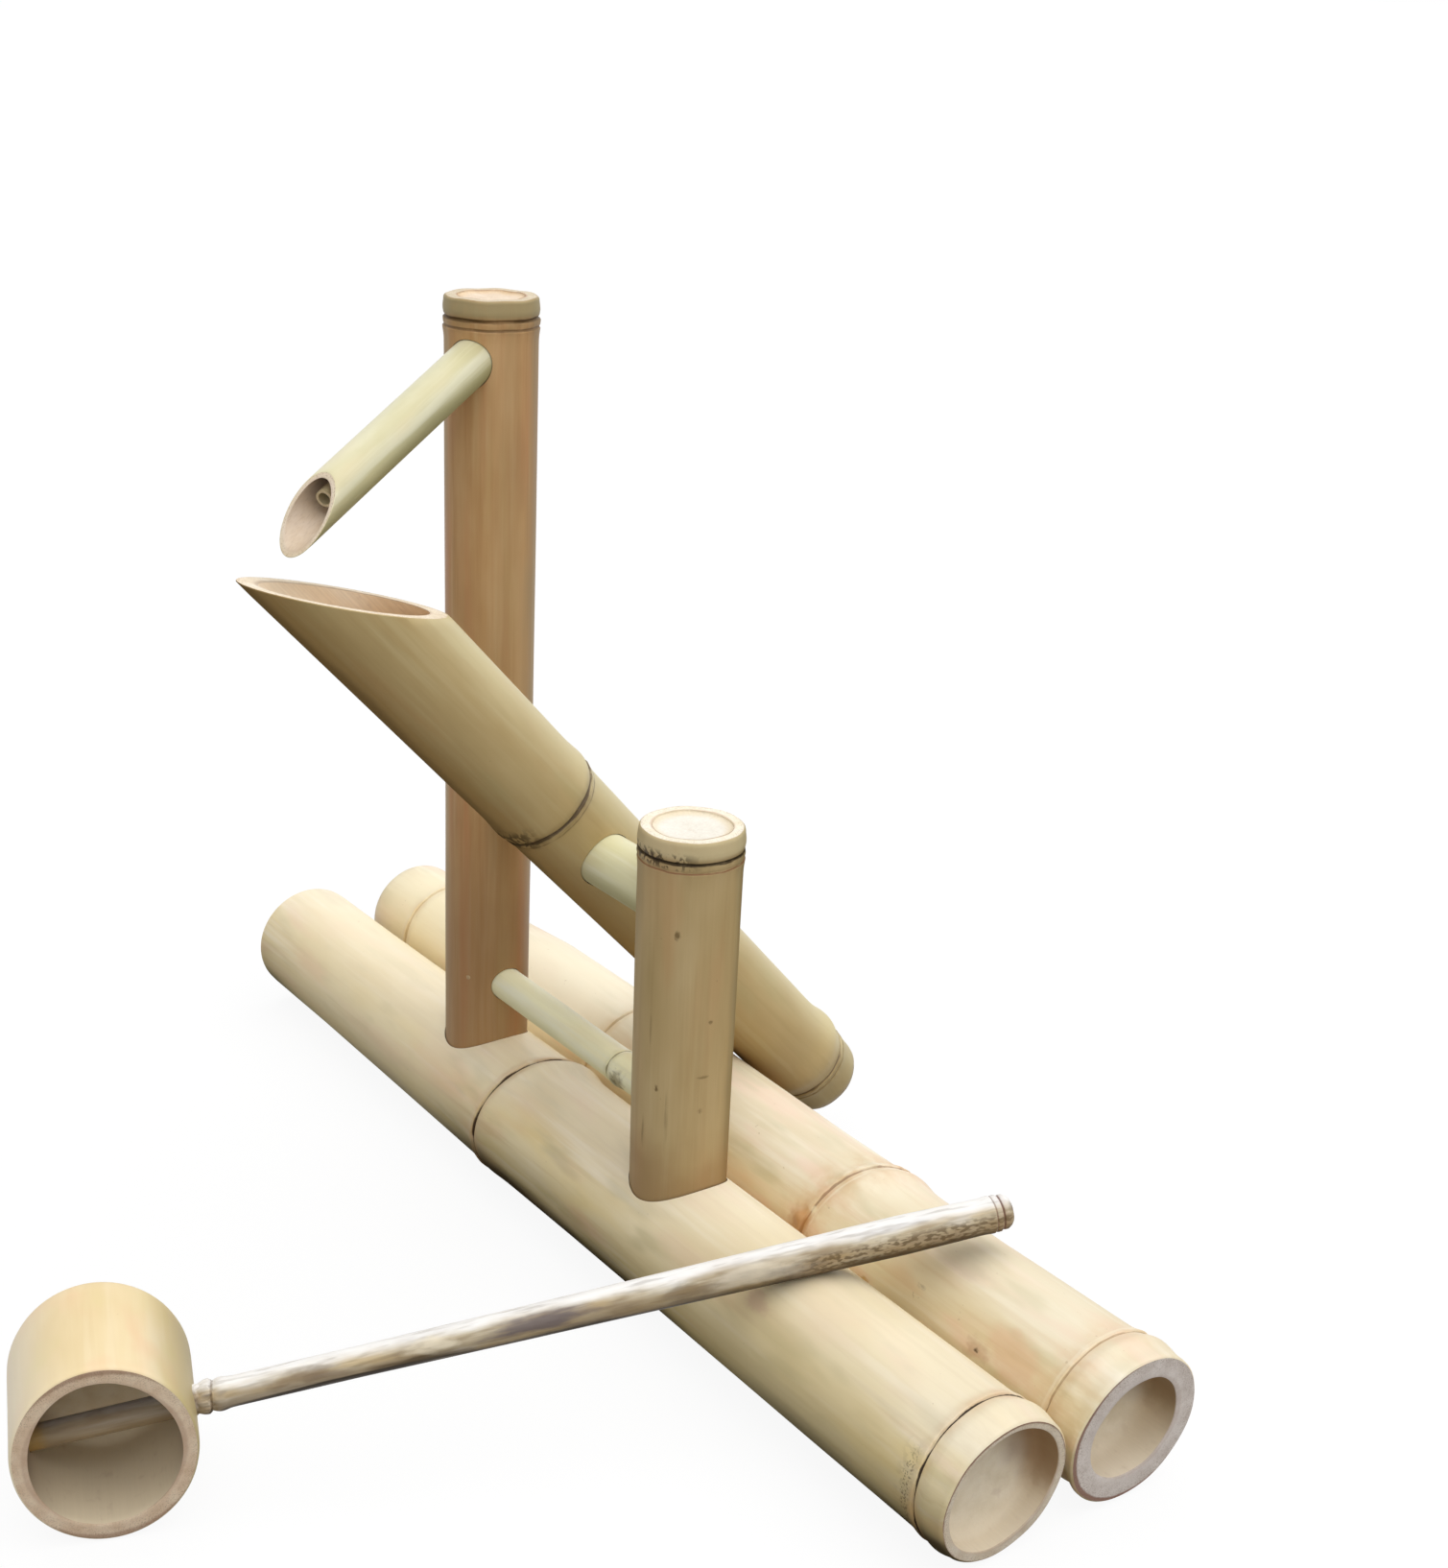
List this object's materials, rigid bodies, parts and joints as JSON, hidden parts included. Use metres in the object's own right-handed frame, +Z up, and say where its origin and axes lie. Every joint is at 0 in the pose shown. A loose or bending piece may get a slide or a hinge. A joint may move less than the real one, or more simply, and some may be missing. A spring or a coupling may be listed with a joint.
{
  "type": "shishi odoshi",
  "caption": "Bamboo deer-scarer fountain: a tipping tube on an axle between posts, a spout above it, a base of lying culms and a long-handled cup ladle.",
  "frame": {"origin": "on the ground under the front base culm's middle node, at the centre of the ridge that rests there", "axes": "+X along the base culms towards the end with the ladle, +Y towards the rear base culm and the tube's heel, +Z up"},
  "size_m": [0.55, 0.4383, 0.3961],
  "materials": {
    "ivory_culm": "satin dried bamboo skin, ivory with a pink and yellow blush",
    "yellow_culm": "satin dried bamboo skin, yellow-cream with an orange blush",
    "tan_post": "satin smoked bamboo skin, tan-brown with reddish streaks",
    "khaki_post": "satin bamboo skin, khaki-beige with soot at the top ring",
    "olive_tube": "satin bamboo skin, olive-tan, darker beneath",
    "green_cane": "smooth thin cane, pale green-cream",
    "cream_cup": "satin bamboo skin, cream-yellow with a pinkish-brown cut rim",
    "grey_handle": "weathered thin cane, silver-grey with brown and black mottling",
    "pale_dowel": "whittled bare bamboo, pale and matt",
    "clear_hose": "milky soft plastic tube"
  },
  "bodies": {
    "base": {"front_base_culm": "ivory_culm", "rear_base_culm": "yellow_culm", "base_dowel_1": "pale_dowel", "base_dowel_2": "pale_dowel", "base_dowel_3": "pale_dowel", "tall_post": "tan_post", "short_post": "khaki_post", "brace_peg": "pale_dowel", "pivot_axle": "green_cane", "brace_rod": "green_cane", "spout": "green_cane", "water_hose": "clear_hose"},
    "tube": {"tipping_tube": "olive_tube"},
    "ladle": {"ladle_cup": "cream_cup", "ladle_handle": "grey_handle"}
  },
  "joints": [
    {"name": "tipping", "type": "hinge", "parent": "base", "child": "tube", "pos_m": [0.02824, 0, 0.177], "axis": [1, 0, 0], "range_deg": [0, 75]},
    {"name": "ladle_lift", "type": "slide", "parent": "base", "child": "ladle", "axis": [0, 0, 1], "range_m": [0, 0.3]}
  ]
}
